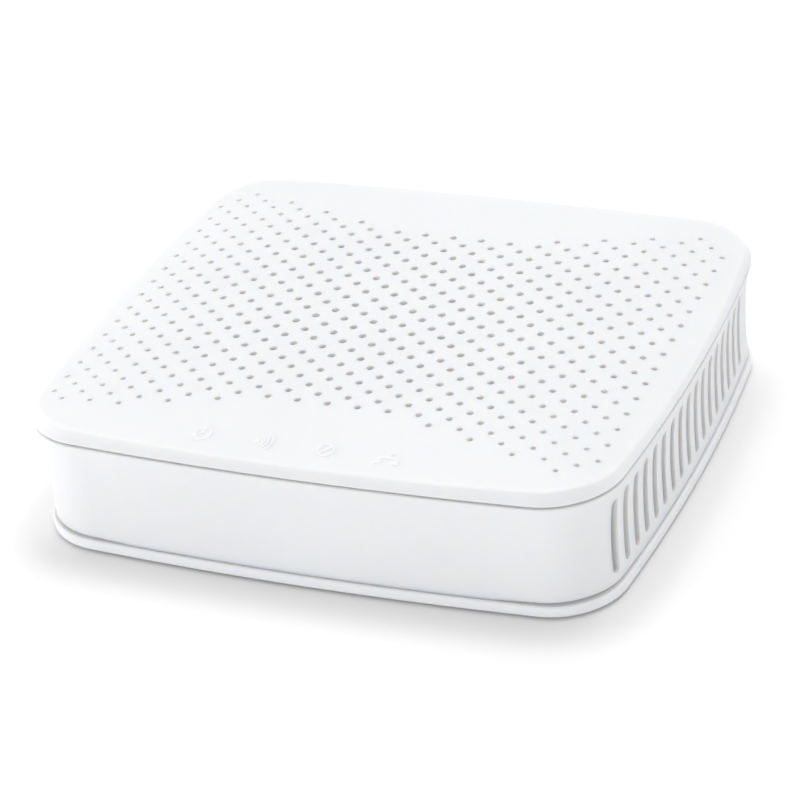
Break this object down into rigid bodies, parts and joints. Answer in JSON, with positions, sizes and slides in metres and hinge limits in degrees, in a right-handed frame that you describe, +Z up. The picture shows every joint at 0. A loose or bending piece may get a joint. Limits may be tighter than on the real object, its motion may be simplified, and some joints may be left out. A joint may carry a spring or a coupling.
{
  "type": "optical network terminal",
  "caption": "Small desktop fibre terminal: perforated crowned lid, waisted slotted wall, flanged base, rear fibre, network and power ports with a button.",
  "frame": {"origin": "on the table, under the middle of the plan outline", "axes": "+X right seen from the front, +Y towards the port side at the back, +Z up"},
  "size_m": [0.1104, 0.0986, 0.026],
  "materials": {
    "cover_plastic": "fine matte",
    "wall_plastic": "fine texture",
    "base_plastic": "fine matte",
    "foot_rubber": "matte",
    "screw_steel": "zinc plated",
    "board_laminate": "solder mask",
    "led_resin": "clear resin over phosphor",
    "clear_acrylic": "polished",
    "adapter_plastic": "satin",
    "zirconia": "polished",
    "plug_plastic": "satin",
    "fibre_jacket": "satin",
    "clip_nylon": "satin",
    "optics_steel": "machined",
    "gold_plate": "gold flash",
    "tinned_sheet": "tinned",
    "dust_cap_plastic": "satin",
    "connector_black": "satin",
    "contact_nickel": "nickel plated",
    "switch_plastic": "satin",
    "button_plastic": "satin",
    "chip_black": "moulded epoxy",
    "pad_silicone": "soft",
    "sink_aluminium": "anodised",
    "ferrite": "pressed powder",
    "capacitor_can": "drawn",
    "capacitor_ceramic": "fired",
    "fuse_ceramic": "fired"
  },
  "bodies": {
    "case": {"top_cover": "cover_plastic", "side_wall": "wall_plastic", "base_plate": "base_plastic", "rubber_feet": "foot_rubber", "case_screws": "screw_steel", "main_board": "board_laminate", "board_screws": "screw_steel", "status_leds": "led_resin", "light_guide": "clear_acrylic", "fibre_adapter": "adapter_plastic", "alignment_sleeve": "zirconia", "pigtail_ferrule": "zirconia", "pigtail_plug": "plug_plastic", "fibre_pigtail": "fibre_jacket", "fibre_clips": "clip_nylon", "optics_body": "optics_steel", "laser_can": "gold_plate", "photodiode_can": "gold_plate", "optics_shield": "tinned_sheet", "lan_jack_housing": "connector_black", "lan_jack_shield": "tinned_sheet", "lan_contacts": "gold_plate", "lan_transformer": "chip_black", "dc_jack_housing": "connector_black", "dc_jack_pin": "contact_nickel", "dc_jack_spring": "contact_nickel", "power_switch_housing": "switch_plastic", "power_switch_spring": "contact_nickel", "reset_switch_housing": "connector_black", "soc_chip": "chip_black", "thermal_pad": "pad_silicone", "heat_sink": "sink_aluminium", "memory_chip": "chip_black", "flash_chip": "chip_black", "regulator_chips": "chip_black", "power_inductors": "ferrite", "bulk_capacitors": "capacitor_can", "chip_capacitors": "capacitor_ceramic", "crystal_can": "contact_nickel", "input_fuse": "fuse_ceramic"},
    "button": {"power_button": "button_plastic"},
    "reset": {"reset_plunger": "button_plastic"},
    "cap": {"dust_cap": "dust_cap_plastic"}
  },
  "joints": [
    {"name": "power_button_press", "type": "slide", "parent": "case", "child": "button", "axis": [0, -1, 0], "range_m": [0, 0.0022], "stiffness_N_per_m": 600, "deforming": ["power_switch_spring"]},
    {"name": "reset_press", "type": "slide", "parent": "case", "child": "reset", "axis": [0, -1, 0], "range_m": [0, 0.0003], "stiffness_N_per_m": 800},
    {"name": "dust_cap_pull", "type": "slide", "parent": "case", "child": "cap", "axis": [0, 1, 0], "range_m": [0, 0.014]}
  ]
}
